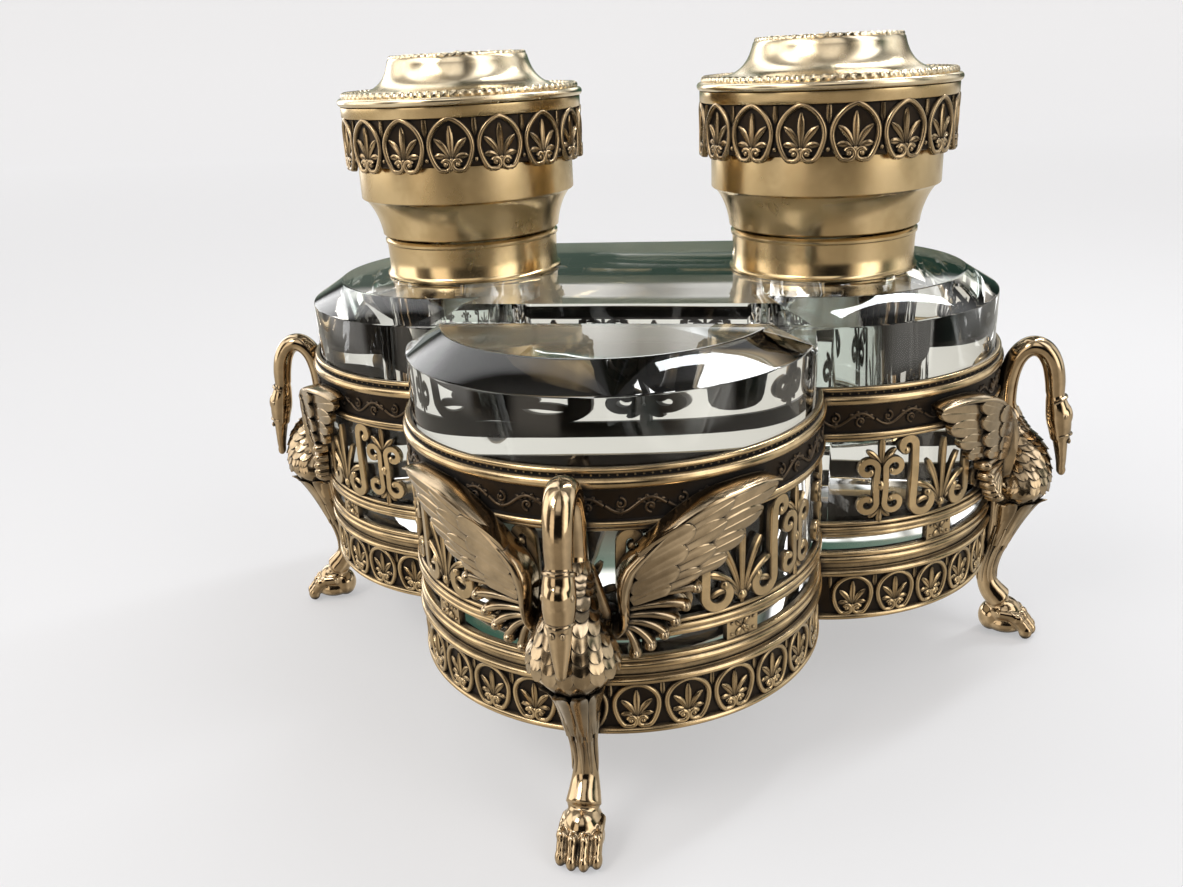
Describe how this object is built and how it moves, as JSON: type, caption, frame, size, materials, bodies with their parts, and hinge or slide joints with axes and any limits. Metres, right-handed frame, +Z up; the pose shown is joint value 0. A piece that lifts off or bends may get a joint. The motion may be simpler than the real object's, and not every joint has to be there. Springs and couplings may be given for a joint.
{
  "type": "inkwell",
  "caption": "Desk inkwell: lobed crystal block with pen groove in a pierced gilt gallery on swan feet, with hinged capital-shaped covers over the wells.",
  "frame": {"origin": "on the table surface, below the middle of the whole object's box", "axes": "+Z up, -Y to the front swan, +X to the right-hand well"},
  "size_m": [0.174, 0.1306, 0.1249],
  "materials": {
    "antique_gilt": "antiqued gilt brass, dark in the recesses",
    "cast_gilt": "cast and chased gilt brass, worn bright on the high parts",
    "relief_gilt": "stamped relief, patinated",
    "polished_brass": "polished",
    "pale_gilt": "satin polished",
    "fixing_brass": "turned",
    "crystal": "clear cut crystal, polished",
    "liner_glass": "clear pressed glass"
  },
  "bodies": {
    "gallery": {"base_plate": "antique_gilt", "base_skirt": "antique_gilt", "skirt_palmettes": "antique_gilt", "lower_rail": "antique_gilt", "scroll_panel_front": "antique_gilt", "scroll_panel_left": "antique_gilt", "scroll_panel_right": "antique_gilt", "scroll_panel_back": "antique_gilt", "gallery_frieze": "antique_gilt", "gallery_rim": "antique_gilt", "swan_front": "cast_gilt", "swan_left": "cast_gilt", "swan_right": "cast_gilt", "wings_front": "cast_gilt", "wings_left": "cast_gilt", "wings_right": "cast_gilt", "swan_screws": "fixing_brass"},
    "crystal": {"crystal_block": "crystal", "ink_liner_left": "liner_glass", "ink_liner_right": "liner_glass", "collar_left": "polished_brass", "collar_right": "polished_brass", "hinge_pin_left": "fixing_brass", "hinge_pin_right": "fixing_brass"},
    "cover_left": {"cover_shell_left": "polished_brass", "palmette_band_left": "relief_gilt", "cover_cap_left": "pale_gilt", "cover_rosette_left": "pale_gilt", "cover_lining_left": "polished_brass"},
    "cover_right": {"cover_shell_right": "polished_brass", "palmette_band_right": "relief_gilt", "cover_cap_right": "pale_gilt", "cover_rosette_right": "pale_gilt", "cover_lining_right": "polished_brass"}
  },
  "joints": [
    {"name": "crystal_lift", "type": "slide", "parent": "gallery", "child": "crystal", "axis": [0, 0, 1], "range_m": [0, 0.04]},
    {"name": "cover_left_hinge", "type": "hinge", "parent": "crystal", "child": "cover_left", "pos_m": [-0.0371, 0.04885, 0.0883], "axis": [-1, 0, 0], "range_deg": [0, 90]},
    {"name": "cover_right_hinge", "type": "hinge", "parent": "crystal", "child": "cover_right", "pos_m": [0.0371, 0.04885, 0.0883], "axis": [-1, 0, 0], "range_deg": [0, 90]}
  ]
}
